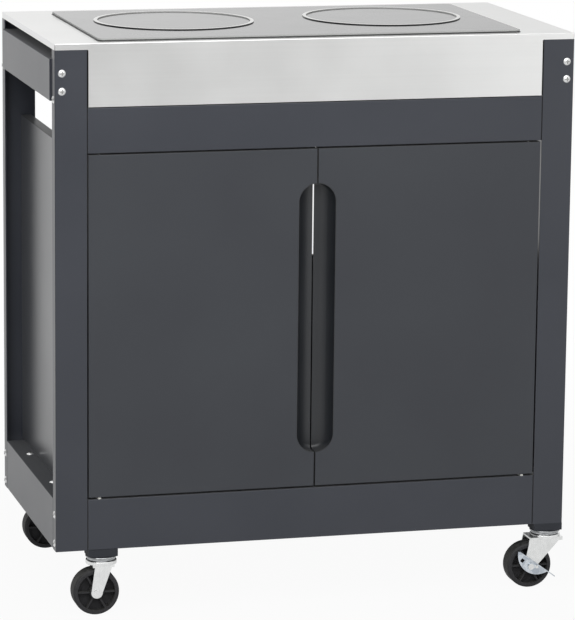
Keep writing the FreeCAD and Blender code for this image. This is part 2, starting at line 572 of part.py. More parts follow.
# Doors: open-backed pans with half of the pull let into the meeting edge, hung on upright pivot pins.
# Half a pull is welded up from a deep strip, a side strip and a pressed cap at either end.
bushes = []
catches = []
for side_name, side in SIDES.items():
    pin_x = f"{side} * {PIN_X}"
    blank = box(span(side, DOOR_INNER, DOOR_OUTER), (FRONT, DOOR_BACK), (DOOR_BOTTOM, DOOR_TOP))
    pan = rounded(blank, "door_bend", edge_test("xz", y="depth / 2"))
    hollow = box(span(side, f"{DOOR_INNER} + door_sheet", f"{DOOR_OUTER} - door_sheet"),
                 (f"{FRONT} + door_sheet", f"{DOOR_BACK} + spare"),
                 (f"{DOOR_BOTTOM} + door_sheet", f"{DOOR_TOP} - door_sheet"))
    pin_hole = rod(pin_x, PIN_Y, (f"{DOOR_BOTTOM} - spare", f"{DOOR_TOP} + spare"), "pin_radius + pin_play")
    node(f"{side_name}_door_skin", cut(pan, hollow, trough("door_sheet"), pin_hole))

    shell = cut(trough("door_sheet"), trough("0"))
    whole_x = span(side, DOOR_INNER, "2 * pull_half")
    strip_z = about(DOOR_MIDDLE, "(pull_length / 2 - pull_cap)")
    shares = [(span(side, DOOR_INNER, "pull_seam"), strip_z), (span(side, "pull_seam", "2 * pull_half"), strip_z),
              (whole_x, (DOOR_BOTTOM, strip_z[0])), (whole_x, (strip_z[1], DOOR_TOP))]
    behind_face = (FRONT, f"{FRONT} + 2 * pull_depth")
    node(f"{side_name}_pull_scoop", group([common(shell, box(x, behind_face, z)) for x, z in shares]))

    pivots = []
    plate_x = about(pin_x, "pivot_half_width")
    plate_y = about(PIN_Y, "pivot_half_depth")
    low_plate = (f"{DOOR_BOTTOM} + door_sheet", f"{DOOR_BOTTOM} + door_sheet + pivot_plate")
    low_pin = (f"{LOWER_TOP} - sheet - pin_reach", low_plate[1])
    high_plate = (f"{DOOR_TOP} - door_sheet - pivot_plate", f"{DOOR_TOP} - door_sheet")
    high_pin = (high_plate[0], f"{UPPER_BOTTOM} + sheet + pin_reach")
    for plate_z, pin_z in ((low_plate, low_pin), (high_plate, high_pin)):
        pivots.append(fuse(box(plate_x, plate_y, plate_z), rod(pin_x, PIN_Y, pin_z, "pin_radius")))
    node(f"{side_name}_door_pivots", group(pivots))

    low_sleeve = (f"{LOWER_TOP} - sheet - bush_reach", f"{LOWER_TOP} + bush_flange")
    low_collar = (f"{LOWER_TOP} - sheet - bush_flange", f"{LOWER_TOP} - sheet")
    high_sleeve = (f"{UPPER_BOTTOM} - bush_flange", f"{UPPER_BOTTOM} + sheet + bush_reach")
    high_collar = (f"{UPPER_BOTTOM} + sheet", f"{UPPER_BOTTOM} + sheet + bush_flange")
    for sleeve_z, collar_z in ((low_sleeve, low_collar), (high_sleeve, high_collar)):
        body = fuse(rod(pin_x, PIN_Y, sleeve_z, "bush_radius"), rod(pin_x, PIN_Y, collar_z, "bush_collar"))
        bore_z = (f"{LOWER_TOP} - sheet - bush_reach - spare", f"{UPPER_BOTTOM} + sheet + bush_reach + spare")
        bushes.append(cut(body, rod(pin_x, PIN_Y, bore_z, "pin_radius + pin_play")))

    strike_x = span(side, "catch_offset - strike_margin", "catch_offset + catch_width + strike_margin")
    strike_top = f"{DOOR_TOP} - door_sheet"
    upright = box(strike_x, (f"{DOOR_BACK} - door_sheet", DOOR_BACK), (f"{strike_top} - catch_height", strike_top))
    foot = box(strike_x, (f"{DOOR_BACK} - strike_foot", DOOR_BACK), (f"{strike_top} - door_sheet", strike_top))
    relief = trough("2 * door_sheet")  # keeps the plate a sheet's thickness clear of the pull in a low door
    node(f"{side_name}_strike_plate", cut(fuse(upright, foot), relief))
    catches.append(box(span(side, "catch_offset", "catch_offset + catch_width"),
                       (f"{DOOR_BACK} + catch_gap", f"{DOOR_BACK} + catch_gap + catch_depth"),
                       (f"{UPPER_BOTTOM} - catch_height", UPPER_BOTTOM)))
node("hinge_bushes", group(bushes))
node("magnet_catches", group(catches))

# Screw heads: domes with a cross slot, turned to face out of the piece that they hold
DOME = "((screw_radius ^ 2 + screw_rise ^ 2) / (2 * screw_rise))"
FACING = {
    "left": FreeCAD.Rotation(FreeCAD.Vector(0, 1, 0), -90),
    "right": FreeCAD.Rotation(FreeCAD.Vector(0, 1, 0), 90),
    "front": FreeCAD.Rotation(FreeCAD.Vector(1, 0, 0), 90),
    "up": FreeCAD.Rotation(),
}


def screw(facing, x, y, z):
    """One screw head whose flat side lies at the given point of a face."""
    dome = doc.addObject("Part::Sphere", "Dome")
    bind(dome, Radius=DOME, Angle1=f"asin(({DOME} - screw_rise) / {DOME})", z=f"screw_rise - {DOME}")
    across, along = "screw_slot / 2", "screw_slot_length / 2"
    slots = [centred_box(along, across, "screw_slot_depth"), centred_box(across, along, "screw_slot_depth")]
    head = cut(dome, *[bind(slot, z="screw_rise") for slot in slots])
    head.Placement = FreeCAD.Placement(FreeCAD.Vector(), FACING[facing])
    return bind(head, x=x, y=y, z=z)


front_screws = []
side_screws = []
for side_name, side in SIDES.items():
    for count in range(2):
        drop = f"screw_drop + {count} * screw_pitch"
        front_screws.append(screw("front", f"{side} * (width / 2 - screw_inset)", FRONT, f"{POST_TOP} - ({drop})"))
    for end in ENDS.values():
        y = f"{end} * (depth / 2 - side_flange / 2)"
        heights = (f"{POST_BOTTOM} + side_screw_rise", f"{POST_BOTTOM} + side_screw_rise + side_screw_pitch",
                   f"{HANDLE_BOTTOM} + handle_screw_rise")
        for z in heights:
            side_screws.append(screw(side_name, f"{side} * width / 2", y, z))
        side_screws.append(screw("up", f"{side} * (width / 2 - ledge_screw_x)", f"{end} * ledge_screw_y", LOWER_TOP))
node("front_screws", group(front_screws))
node("side_screws", group(side_screws))


def castor(name, swivel_x, swivel_y, kind, end):
    """One swivel castor under its block, trailing to the left; kind names its fork's sizes."""
    axle_x = f"({swivel_x} - {kind}_trail)"
    node(f"{name}_castor_block", box(about(swivel_x, "block_width / 2"), about(swivel_y, "block_depth / 2"),
                                     (BLOCK_BOTTOM, POST_BOTTOM)))

    plate = rounded(rod(swivel_x, swivel_y, (PLATE_BOTTOM, BLOCK_BOTTOM), "plate_radius"), "cup_round", round_edge)
    cup = rounded(rod(swivel_x, swivel_y, (RACE, PLATE_BOTTOM), "cup_radius - cup_step"), "cup_round", round_edge)
    head_top = f"({CROWN} - race_gap)"
    king = rod(swivel_x, swivel_y, (head_top, RACE), "king_radius")
    king_head = rod(swivel_x, swivel_y, (f"{head_top} - king_flange", head_top), "king_head")
    node(f"{name}_castor_plate", fuse(plate, cup, king, king_head))

    fork_y = about(swivel_y, FORK_HALF)
    crown_top = f"({CROWN} + fork_sheet)"
    crown_x = (f"{swivel_x} - {kind}_skirt_left", f"{swivel_x} + {kind}_skirt_right")
    crown = box(crown_x, fork_y, (CROWN, crown_top))
    race = rounded(rod(swivel_x, swivel_y, (CROWN, f"{RACE} - race_gap"), "cup_radius"), "cup_round", round_edge)
    pieces = [crown, race]
    for leg_y in ((fork_y[0], f"{fork_y[0]} + fork_sheet"), (f"{fork_y[1]} - fork_sheet", fork_y[1])):
        leg = doc.addObject("Part::Wedge", "Leg")
        leg.Placement = FreeCAD.Placement(FreeCAD.Vector(), FreeCAD.Rotation(FreeCAD.Vector(1, 0, 0), 90))
        bind(leg, Xmin=f"{axle_x} - {kind}_foot / 2", Xmax=f"{axle_x} + {kind}_foot / 2")
        bind(leg, X2min=f"{swivel_x} - {kind}_leg_left", X2max=f"{swivel_x} + {kind}_leg_right")
        bind(leg, Ymin="wheel_radius", Ymax=crown_top)
        bind(leg, Zmin="0", Z2min="0", Zmax="fork_sheet", Z2max="fork_sheet", y=leg_y[1])
        skirt = box(crown_x, leg_y, (f"{crown_top} - skirt_height", crown_top))
        pieces += [leg, skirt, rod(axle_x, leg_y, "wheel_radius", f"{kind}_foot / 2")]
    axle_hole = rod(axle_x, (f"{fork_y[0]} - spare", f"{fork_y[1]} + spare"), "wheel_radius", "axle_radius")
    king_hole = rod(swivel_x, swivel_y, (f"{CROWN} - spare", RACE), "king_radius + king_play")
    node(f"{name}_castor_fork", cut(fuse(*pieces), axle_hole, king_hole))

    lever_room = "(lever_hub_height + 2 * lever_gap)" if kind == "brake" else "0"
    outer = f"({FORK_HALF} + {lever_room})"
    inner_end, outer_end = f"-({end} * {FORK_HALF})", f"{end} * {outer}"
    shaft_y = (inner_end, outer_end) if end > 0 else (outer_end, inner_end)
    shaft = rod(axle_x, (f"{swivel_y} + {shaft_y[0]}", f"{swivel_y} + {shaft_y[1]}"), "wheel_radius", "axle_radius")
    head_y = span(end, outer, f"{outer} + axle_head_height")
    nut_y = span(-end, FORK_HALF, f"{FORK_HALF} + axle_head_height")
    heads = [rod(axle_x, (f"{swivel_y} + {y[0]}", f"{swivel_y} + {y[1]}"), "wheel_radius", "axle_head")
             for y in (head_y, nut_y)]
    node(f"{name}_castor_axle", fuse(shaft, *heads))

    rim_inside = "(wheel_radius - rim_wall)"
    tread = rounded(rod("0", both("wheel_width / 2"), "0", "wheel_radius"), "tread_round", round_edge)
    recesses = [rod("0", span(face, "web / 2", "wheel_width / 2 + spare"), "0", rim_inside) for face in (-1, 1)]
    ribs = []
    rib_pairs = int(SIZES["rib_pairs"])
    for number in range(rib_pairs):
        rib = centred_box(f"{rim_inside} + rim_wall / 2", "wheel_width / 2 - rib_inset", "rib / 2")
        turn = FreeCAD.Rotation(FreeCAD.Vector(0, 1, 0), 180 * number / rib_pairs)
        rib.Placement = FreeCAD.Placement(FreeCAD.Vector(), turn)
        ribs.append(rib)
    hub = rod("0", both("hub_width / 2"), "0", "hub_radius")
    bearing = rod("0", both("hub_width / 2 + spare"), "0", "axle_radius + axle_play")
    wheel = cut(fuse(cut(tread, *recesses), hub, *ribs), bearing)
    node(f"{name}_castor_wheel", bind(wheel, x=axle_x, y=swivel_y, z="wheel_radius"))

    if kind == "brake":
        lever = brake_lever(end)
        node(f"{name}_brake_lever", bind(lever, x=axle_x, y=f"{swivel_y} + {end} * {FORK_HALF}", z="wheel_radius"))


def brake_lever(end):
    """A pressed leaf on the axle's outer end: a circle segment with a folded upper edge and a slot."""
    arc = "(((lever_chord / 2) ^ 2 + lever_height ^ 2) / (2 * lever_height))"
    leaf_y = span(end, "lever_gap", "lever_gap + lever_sheet")
    disc = rod("-lever_shift", leaf_y, f"lever_rise - lever_height + {arc}", arc)
    below = box(about("-lever_shift", "lever_chord / 2"), leaf_y, ("lever_rise - lever_height", "lever_rise"))
    flange = box(("-lever_shift - lever_chord / 2", "lever_chord / 2 + lever_tip - lever_shift"),
                 span(end, "lever_gap", "lever_gap + lever_flange"), ("lever_rise - lever_sheet", "lever_rise"))
    hub = rod("0", span(end, "lever_gap", "lever_gap + lever_hub_height"), "0", "lever_hub")
    slot = box(about("-lever_slot_offset", "lever_slot / 2"), both("lever_flange"), both("lever_slot / 2"))
    bore = rod("0", both("lever_flange"), "0", "axle_radius + axle_play")
    lever = cut(fuse(common(disc, below), flange, hub), slot, bore)
    tilt = float(sheet.get("lever_tilt"))
    lever.Placement = FreeCAD.Placement(FreeCAD.Vector(), FreeCAD.Rotation(FreeCAD.Vector(0, 1, 0), tilt))
    return lever


# Castors: the plain pair on the left, the pair with brakes on the right
for end_name, end in ENDS.items():
    castor(f"{end_name}_left", LEFT_SWIVEL, f"({end} * {SWIVEL_Y})", "plain", end)
    castor(f"{end_name}_right", RIGHT_SWIVEL, f"({end} * {SWIVEL_Y})", "brake", end)

doc.recompute()
for item in doc.Objects:
    if "Invalid" in item.State or "Error" in item.State:
        raise RuntimeError(f"{item.Label} failed: {item.State}")
for item in nodes:
    if item.Shape.isNull() or not item.Shape.isValid() or not item.Shape.Solids:
        raise RuntimeError(f"{item.Label} has no valid solid")

os.makedirs("parts", exist_ok=True)
for item in nodes:
    item.Shape.exportStep(f"parts/{item.Label}.step")
    solids = item.Shape.Solids
    print(f"{item.Label}: {len(solids)} solid(s), {sum(solid.Volume for solid in solids):.0f} mm3")
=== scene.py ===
import math
import bpy
from mathutils import Matrix, Vector


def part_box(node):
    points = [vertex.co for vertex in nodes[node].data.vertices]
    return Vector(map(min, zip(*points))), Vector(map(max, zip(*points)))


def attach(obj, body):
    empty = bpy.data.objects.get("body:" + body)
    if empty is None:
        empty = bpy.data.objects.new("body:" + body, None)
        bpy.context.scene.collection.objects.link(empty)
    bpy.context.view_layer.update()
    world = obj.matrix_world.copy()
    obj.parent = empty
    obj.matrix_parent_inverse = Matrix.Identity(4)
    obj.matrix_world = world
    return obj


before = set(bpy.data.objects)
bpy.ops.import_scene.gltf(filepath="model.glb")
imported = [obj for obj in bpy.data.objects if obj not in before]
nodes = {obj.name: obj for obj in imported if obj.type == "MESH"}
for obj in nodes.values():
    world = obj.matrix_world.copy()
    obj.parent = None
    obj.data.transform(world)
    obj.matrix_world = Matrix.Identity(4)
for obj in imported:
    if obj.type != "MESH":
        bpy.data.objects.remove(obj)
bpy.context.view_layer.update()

scene = bpy.context.scene
scene.view_settings.view_transform = "Standard"

# Viewpoint: a long lens a little to the left of the unit and above its worktop, level but for half a degree.
# Angles are in degrees, and lengths in metres except the lens and its sensor, which are in millimetres.
# The aim is a point in the middle plane of the cabinet.
view_azimuth = math.radians(-14.997)
view_elevation = math.radians(11.286)
view_roll = math.radians(0.591)
view_distance = 5.853675
view_aim = Vector((0.012423, 0.0, 0.438927))
view_end = 60.0
sensor_width = 36.0
focal_length = 204.26

backward = Vector((math.sin(view_azimuth) * math.cos(view_elevation),
                   -math.cos(view_azimuth) * math.cos(view_elevation),
                   math.sin(view_elevation)))
level = Vector((0.0, 0.0, 1.0)).cross(backward).normalized()
upright = backward.cross(level)
right = level * math.cos(view_roll) + upright * math.sin(view_roll)
up = upright * math.cos(view_roll) - level * math.sin(view_roll)
lens = bpy.data.cameras.new("viewpoint")
lens.sensor_width = sensor_width
lens.lens = focal_length
lens.clip_end = view_end
viewpoint = bpy.data.objects.new("viewpoint", lens)
viewpoint.matrix_world = Matrix.Translation(view_aim + backward * view_distance) @ \
    Matrix((right, up, backward)).transposed().to_4x4()
scene.collection.objects.link(viewpoint)
scene.camera = viewpoint


# Frame: four angle posts with rails between them, folded from steel sheet, screwed together and finished
# with a matte anthracite powder coat. The coat has a fine orange peel and is never quite even in tone. On
# faces that look up it is rougher, and its colour is painted darker there as painted shade.
def add(tree, kind, inputs=None, **settings):
    """A shader node; an input is given a plain value or the socket that feeds it."""
    item = tree.nodes.new(f"ShaderNode{kind}")
    for name, value in settings.items():
        setattr(item, name, value)
    for name, value in (inputs or {}).items():
        if isinstance(value, bpy.types.NodeSocket):
            tree.links.new(value, item.inputs[name])
        else:
            item.inputs[name].default_value = value
    return item


def calc(tree, operation, first, second=0.0):
    return add(tree, "Math", {0: first, 1: second}, operation=operation).outputs[0]


def times(tree, first, second):
    return calc(tree, "MULTIPLY", first, second)


def spread(tree, value, low, high, first=0.0, last=1.0):
    """Stretches low to high over first to last, and stops at both ends."""
    limits = {"From Min": low, "From Max": high, "To Min": first, "To Max": last}
    return add(tree, "MapRange", {"Value": value, **limits}).outputs["Result"]


def between(tree, mask, first, last):
    """The first number where the mask is 0, the last where it is 1."""
    return spread(tree, mask, 0.0, 1.0, first, last)


def tint(tree, mask, first, second):
    """The first colour where the mask is 0, the second where it is 1."""
    return add(tree, "Mix", {0: mask, 6: first, 7: second}, data_type="RGBA").outputs[2]


def noise(tree, place, scale, detail=2.0):
    return add(tree, "TexNoise", {"Vector": place, "Scale": scale, "Detail": detail}).outputs["Fac"]


def split(tree, vector):
    """The X, Y and Z of a place or a normal."""
    return add(tree, "SeparateXYZ", {0: vector}).outputs


def new_effect(name, inputs, outputs):
    """An empty shader group, the sockets that come into it and the node that takes its results."""
    group = bpy.data.node_groups.new(name, "ShaderNodeTree")
    for label, kind in inputs.items():
        group.interface.new_socket(label, in_out="INPUT", socket_type=f"NodeSocket{kind}")
    for label, kind in outputs.items():
        group.interface.new_socket(label, in_out="OUTPUT", socket_type=f"NodeSocket{kind}")
    return group, group.nodes.new("NodeGroupInput").outputs, group.nodes.new("NodeGroupOutput")


def new_finish(name, **shader_values):
    """A material, its tree, its shader and the place on the piece; the values are set on the shader."""
    material = bpy.data.materials.new(name)
    material.use_nodes = True
    tree = material.node_tree
    shader = tree.nodes["Principled BSDF"]
    for label, value in shader_values.items():
        shader.inputs[label.replace("_", " ")].default_value = value
    return material, tree, shader, add(tree, "TexCoord").outputs


def feed(tree, item, **sockets):
    """Links sockets to the inputs of a node, named with underscores for spaces."""
    for label, socket in sockets.items():
        tree.links.new(socket, item.inputs[label.replace("_", " ")])


def bump(tree, height, strength, distance):
    return add(tree, "Bump", {"Height": height, "Strength": strength, "Distance": distance}).outputs["Normal"]


def finish(material, *names):
    for name in names:
        for held in nodes[name].material_slots:
            held.material = material


powder_grain, inside, result = new_effect(
    "powder_grain", {"Place": "Vector", "Normal": "Vector", "Peel Scale": "Float"},
    {"Peel": "Float", "Mottle": "Float", "Dust": "Float", "Upward": "Float"})
clouds = noise(powder_grain, inside["Place"], scale=4.5, detail=5.0)
specks = noise(powder_grain, inside["Place"], scale=260.0, detail=3.0)
looks_up = spread(powder_grain, split(powder_grain, inside["Normal"])["Z"], low=0.5, high=0.95)
settled = times(powder_grain, spread(powder_grain, specks, low=0.6, high=0.78), looks_up)
feed(powder_grain, result, Peel=noise(powder_grain, inside["Place"], inside["Peel Scale"]),
     Mottle=spread(powder_grain, clouds, low=0.32, high=0.68), Dust=settled, Upward=looks_up)

painted_up_shade = (0.010, 0.011, 0.013, 1.0)
up_shade_share = 0.6
up_roughness = 0.5
dust_grey = (0.16, 0.16, 0.155, 1.0)
dust_share = 0.1


def powder_coat(name, dark, light, peel_scale, peel_depth, smooth, rough, **shader_values):
    """A coat that drifts from dark to light, and from smooth to rough with it."""
    material, tree, shader, place = new_finish(name, Sheen_Roughness=0.4, **shader_values)
    grain = add(tree, "Group", {"Place": place["Object"], "Normal": place["Normal"], "Peel Scale": peel_scale},
                node_tree=powder_grain).outputs
    even = tint(tree, grain["Mottle"], dark, light)
    # Painted shade: faces that look up are painted darker.
    colour = tint(tree, times(tree, grain["Upward"], up_shade_share), even, painted_up_shade)
    dusty = times(tree, grain["Dust"], dust_share)
    gloss = between(tree, grain["Mottle"], smooth, rough)
    feed(tree, shader, Base_Color=tint(tree, dusty, colour, dust_grey),
         Roughness=calc(tree, "ADD", gloss, times(tree, grain["Upward"], up_roughness)),
         Normal=bump(tree, grain["Peel"], strength=0.2, distance=peel_depth))
    return material


frame_values = {"dark": (0.032, 0.036, 0.047, 1.0), "light": (0.040, 0.044, 0.056, 1.0), "peel_scale": 1500.0,
                "peel_depth": 0.0002, "smooth": 0.36, "rough": 0.42, "Sheen_Weight": 0.18}
frame_coat = powder_coat("frame_coat", **frame_values)
ends = {"front": -1, "rear": 1}
sides = {"left": -1, "right": 1}
finish(frame_coat, *[f"{end}_{side}_post" for end in ends for side in sides])
finish(frame_coat, *[f"{side}_{kind}_rail" for side in sides for kind in ("handle", "lower")])


# Cross rails: channels across the front and rear in the same coat, screwed behind the posts by their end tabs.
# The tabs are painted black, a painted shade for the seams beside the posts.
def cover(material, mask, colour):
    """Lays a colour over a finish where the mask is 1."""
    tree = material.node_tree
    shader = tree.nodes["Principled BSDF"]
    before = shader.inputs["Base Color"].links[0].from_socket
    feed(tree, shader, Base_Color=tint(tree, mask, before, colour))


tab_start = {"front": 0.3723, "rear": 0.3683}
painted_seam_shade = (0.004, 0.004, 0.005, 1.0)
rail_coat = powder_coat("rail_coat", **frame_values)
tree = rail_coat.node_tree
axes = split(tree, add(tree, "TexCoord").outputs["Object"])
at_rear = calc(tree, "GREATER_THAN", axes["Y"], 0.0)
shaded_from = between(tree, at_rear, tab_start["front"], tab_start["rear"])
on_tab = calc(tree, "GREATER_THAN", calc(tree, "ABSOLUTE", axes["X"]), shaded_from)
# Painted shade: the tabs show black in the seams beside the posts.
cover(rail_coat, on_tab, painted_seam_shade)
finish(rail_coat, *[f"{end}_{height}_rail" for end in ends for height in ("upper", "lower")])

# Panels: side pans, the half-height back with its vents, and the floor, all of thinner sheet in the same coat.
# They were sprayed lying flat, so the coat flowed out smoother than on the frame, under a thin clear lacquer.
panel_coat = powder_coat("panel_coat", dark=(0.036, 0.040, 0.048, 1.0), light=(0.043, 0.047, 0.056, 1.0),
                         peel_scale=1100.0, peel_depth=0.00012, smooth=0.28, rough=0.34, Sheen_Weight=0.06,
                         Coat_Weight=0.4, Coat_Roughness=0.28)
finish(panel_coat, *[f"{side}_side_panel" for side in sides], "back_panel", "floor_panel")


# Filter cloths: woven dust filters glued inside the back panel over its two vents.
# Each is a dark cloth that has sagged into shallow waves between its glued edges.
def new_piece(name, points, faces, material, smooth=False):
    mesh = bpy.data.meshes.new(name)
    mesh.from_pydata(points, [], faces)
    if smooth:
        mesh.shade_smooth()
    mesh.materials.append(material)
    piece = bpy.data.objects.new(name, mesh)
    scene.collection.objects.link(piece)
    return piece


cloth_middle = Vector((0.119, 0.2206, 0.408))
cloth_half_width, cloth_half_height = 0.052, 0.034
cloth_wave = 0.0005
cloth_thickness = 0.0004
cloth_columns, cloth_rows = 27, 19
waves_across, waves_up = 7.0, 2.0
thread_scale = 420.0
thread_gap = (0.012, 0.012, 0.013, 1.0)
thread_crown = (0.05, 0.05, 0.052, 1.0)
filter_cloth, tree, shader, place = new_finish("filter_cloth", Specular_IOR_Level=0.15)
warp, weft = [add(tree, "TexWave", {"Vector": place["Object"], "Scale": thread_scale},
                  bands_direction=run).outputs["Fac"] for run in "XZ"]
weave = calc(tree, "MAXIMUM", warp, weft)
feed(tree, shader, Base_Color=tint(tree, weave, thread_gap, thread_crown),
     Roughness=between(tree, weave, first=0.95, last=0.8),
     Normal=bump(tree, weave, strength=0.5, distance=0.0003))
for side, sign in sides.items():
    cloth_points = []
    for row in range(cloth_rows):
        for column in range(cloth_columns):
            across = 2.0 * column / (cloth_columns - 1) - 1.0
            rise = 2.0 * row / (cloth_rows - 1) - 1.0
            free = (1.0 - across * across) * (1.0 - rise * rise)
            sag = cloth_wave * free * math.sin(waves_across * across + waves_up * rise)
            cloth_points.append((sign * cloth_middle.x + across * cloth_half_width, cloth_middle.y + sag,
                                 cloth_middle.z + rise * cloth_half_height))
    cloth_faces = []
    for row in range(cloth_rows - 1):
        for column in range(cloth_columns - 1):
            first = row * cloth_columns + column
            above = first + cloth_columns
            cloth_faces.append((first, first + 1, above + 1, above))
    cloth = new_piece(f"{side}_filter_cloth", cloth_points, cloth_faces, filter_cloth, smooth=True)
    thick = cloth.modifiers.new("thickness", "SOLIDIFY")
    thick.thickness = cloth_thickness
    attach(cloth, "cabinet")


# Worktop: stainless sheet folded down all round, with a tall apron at the front, brushed along its length.
# The brushing leaves fine lines, and wiping leaves faint clouds.
def stretched(tree, place, scale):
    """The place with its three directions scaled one by one."""
    return add(tree, "VectorMath", {0: place, 1: scale}, operation="MULTIPLY").outputs[0]


brush_lines, inside, result = new_effect(
    "brush_lines", {"Place": "Vector", "Stretch": "Vector"},
    {"Lines": "Float", "Streaks": "Float", "Clouds": "Float"})
drawn_out = stretched(brush_lines, inside["Place"], inside["Stretch"])
streaks = noise(brush_lines, drawn_out, scale=240.0)
clouds = noise(brush_lines, inside["Place"], scale=9.0, detail=4.0)
feed(brush_lines, result, Lines=noise(brush_lines, drawn_out, scale=900.0, detail=3.0),
     Streaks=spread(brush_lines, streaks, low=0.3, high=0.7),
     Clouds=spread(brush_lines, clouds, low=0.3, high=0.7))

along_length = (0.006, 1.0, 1.0)
steel_dull = (0.76, 0.762, 0.755, 1.0)
steel_wiped = (0.80, 0.802, 0.795, 1.0)
steel_streak = (0.88, 0.88, 0.87, 1.0)
streak_share = 0.16
brushed_steel, tree, shader, place = new_finish("brushed_steel", Metallic=1.0)
brush = add(tree, "Group", {"Place": place["Object"], "Stretch": along_length}, node_tree=brush_lines).outputs
wiped = tint(tree, brush["Clouds"], steel_dull, steel_wiped)
feed(tree, shader, Base_Color=tint(tree, times(tree, brush["Streaks"], streak_share), wiped, steel_streak),
     Roughness=between(tree, brush["Clouds"], first=0.30, last=0.36),
     Normal=bump(tree, brush["Lines"], strength=0.1, distance=0.00005))
finish(brushed_steel, "worktop")


# Gap shade: two near-black strips standing behind the gaps between the apron and the front posts.
# They are a painted shade that closes the gaps to the eye. The back of each strip is rounded, and its
# foot is cut away beside the apron's return.
def shell(points, count, flipped=False):
    """The faces of a closed form over rings of count points each, with its first and last ring filled in."""
    faces = [tuple(reversed(range(count)))]
    for first in range(0, len(points) - count, count):
        for spot in range(count):
            after = (spot + 1) % count
            faces.append((first + spot, first + after, first + count + after, first + count + spot))
    faces.append(tuple(range(len(points) - count, len(points))))
    return [face[::-1] for face in faces] if flipped else faces


shade_strip_middle = 0.3725
shade_strip_half = 0.007
shade_strip_front, shade_strip_back = -0.2228, -0.2165
shade_strip_round = 0.003
shade_strip_steps = 6
shade_strip_foot = 0.3717
shade_strip_levels = ((0.8188, shade_strip_foot), (0.8219, shade_strip_foot), (0.8222, 0.0), (0.9095, 0.0))
shade_strip_profile = [(-shade_strip_half, shade_strip_front), (shade_strip_half, shade_strip_front)]
for sign in (1, -1):
    for step in range(shade_strip_steps + 1):
        turn = 0.5 * math.pi * step / shade_strip_steps
        swing = turn if sign > 0 else 0.5 * math.pi - turn
        shade_strip_profile.append((sign * (shade_strip_half - shade_strip_round + shade_strip_round * math.cos(swing)),
                             shade_strip_back - shade_strip_round + shade_strip_round * math.sin(swing)))
shade_strip_dark = (0.006, 0.006, 0.006, 1.0)
shade_strip_light = (0.016, 0.016, 0.016, 1.0)
# Painted shade: the strips are near black, with a fine cell grain.
gap_shade, tree, shader, place = new_finish("gap_shade", Specular_IOR_Level=0.2)
cells = noise(tree, place["Object"], scale=2600.0, detail=3.0)
feed(tree, shader, Base_Color=tint(tree, cells, shade_strip_dark, shade_strip_light),
     Roughness=spread(tree, cells, low=0.3, high=0.7, first=0.8, last=0.95),
     Normal=bump(tree, cells, strength=0.6, distance=0.0003))
for side, sign in sides.items():
    shade_strip_points = [(sign * max(shade_strip_middle + x, cut), y, z) for z, cut in shade_strip_levels for x, y in shade_strip_profile]
    shade_strip_faces = shell(shade_strip_points, len(shade_strip_profile), flipped=sign < 0)
    strip = new_piece(f"{side}_gap_shade_strip", shade_strip_points, shade_strip_faces, gap_shade)
    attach(strip, "cabinet")

# Hob glass: one sheet of black glass ceramic, bedded on the worktop over its cut-out, its edge ground grey.
# Pale touch controls are fired into it near the front edge, one row for each zone: a scale of ticks between
# a minus and a plus.
control_x = (-0.262, 0.092)
control_y = -0.154
stroke_half = 0.0008
tick_half_spacing = 0.004
tick_half = 0.004
scale_half = 0.03
key_out = 0.044
key_half = 0.005


def under(tree, value, limit):
    return calc(tree, "LESS_THAN", value, limit)


touch_print, inside, result = new_effect(
    "touch_print", {"Place": "Vector", "Middle": "Float"}, {"Print": "Float"})
axes = split(touch_print, inside["Place"])
rightward = calc(touch_print, "SUBTRACT", axes["X"], inside["Middle"])
from_middle = calc(touch_print, "ABSOLUTE", rightward)
from_row = calc(touch_print, "ABSOLUTE", calc(touch_print, "SUBTRACT", axes["Y"], control_y))
from_key = calc(touch_print, "ABSOLUTE", calc(touch_print, "SUBTRACT", from_middle, key_out))
tick = under(touch_print, calc(touch_print, "PINGPONG", rightward, tick_half_spacing), stroke_half)
ticks = times(touch_print, tick, under(touch_print, from_middle, scale_half))
ticks = times(touch_print, ticks, under(touch_print, from_row, tick_half))
dashes = times(touch_print, under(touch_print, from_key, key_half), under(touch_print, from_row, stroke_half))
stems = times(touch_print, under(touch_print, from_key, stroke_half), under(touch_print, from_row, key_half))
plus_stem = times(touch_print, stems, calc(touch_print, "GREATER_THAN", rightward, 0.0))
signs = calc(touch_print, "MAXIMUM", dashes, plus_stem)
feed(touch_print, result, Print=calc(touch_print, "MAXIMUM", ticks, signs))

glass_deep = (0.008, 0.009, 0.009, 1.0)
glass_smeared = (0.014, 0.015, 0.015, 1.0)
print_grey = (0.5, 0.5, 0.49, 1.0)
print_share = 0.7
edge_grey = (0.40, 0.41, 0.40, 1.0)
edge_share = 0.8
edge_roughness = 0.5
black_glass, tree, shader, place = new_finish("black_glass", IOR=1.54, Coat_Weight=0.17)
prints = [add(tree, "Group", {"Place": place["Object"], "Middle": x}, node_tree=touch_print).outputs["Print"]
          for x in control_x]
printed = times(tree, calc(tree, "MAXIMUM", *prints), print_share)
smears = spread(tree, noise(tree, place["Object"], scale=14.0, detail=5.0), low=0.35, high=0.7)
top_face = tint(tree, printed, tint(tree, smears, glass_deep, glass_smeared), print_grey)
upright_face = spread(tree, split(tree, place["Normal"])["Z"], low=0.4, high=0.8, first=1.0, last=0.0)
ground_edge = times(tree, upright_face, edge_share)
polish = between(tree, smears, first=0.06, last=0.12)
ripple = noise(tree, place["Object"], scale=420.0, detail=1.0)
feed(tree, shader, Base_Color=tint(tree, ground_edge, top_face, edge_grey),
     Roughness=calc(tree, "ADD", polish, times(tree, ground_edge, edge_roughness)),
     Normal=bump(tree, ripple, strength=0.02, distance=0.0001))
finish(black_glass, "hob_glass")

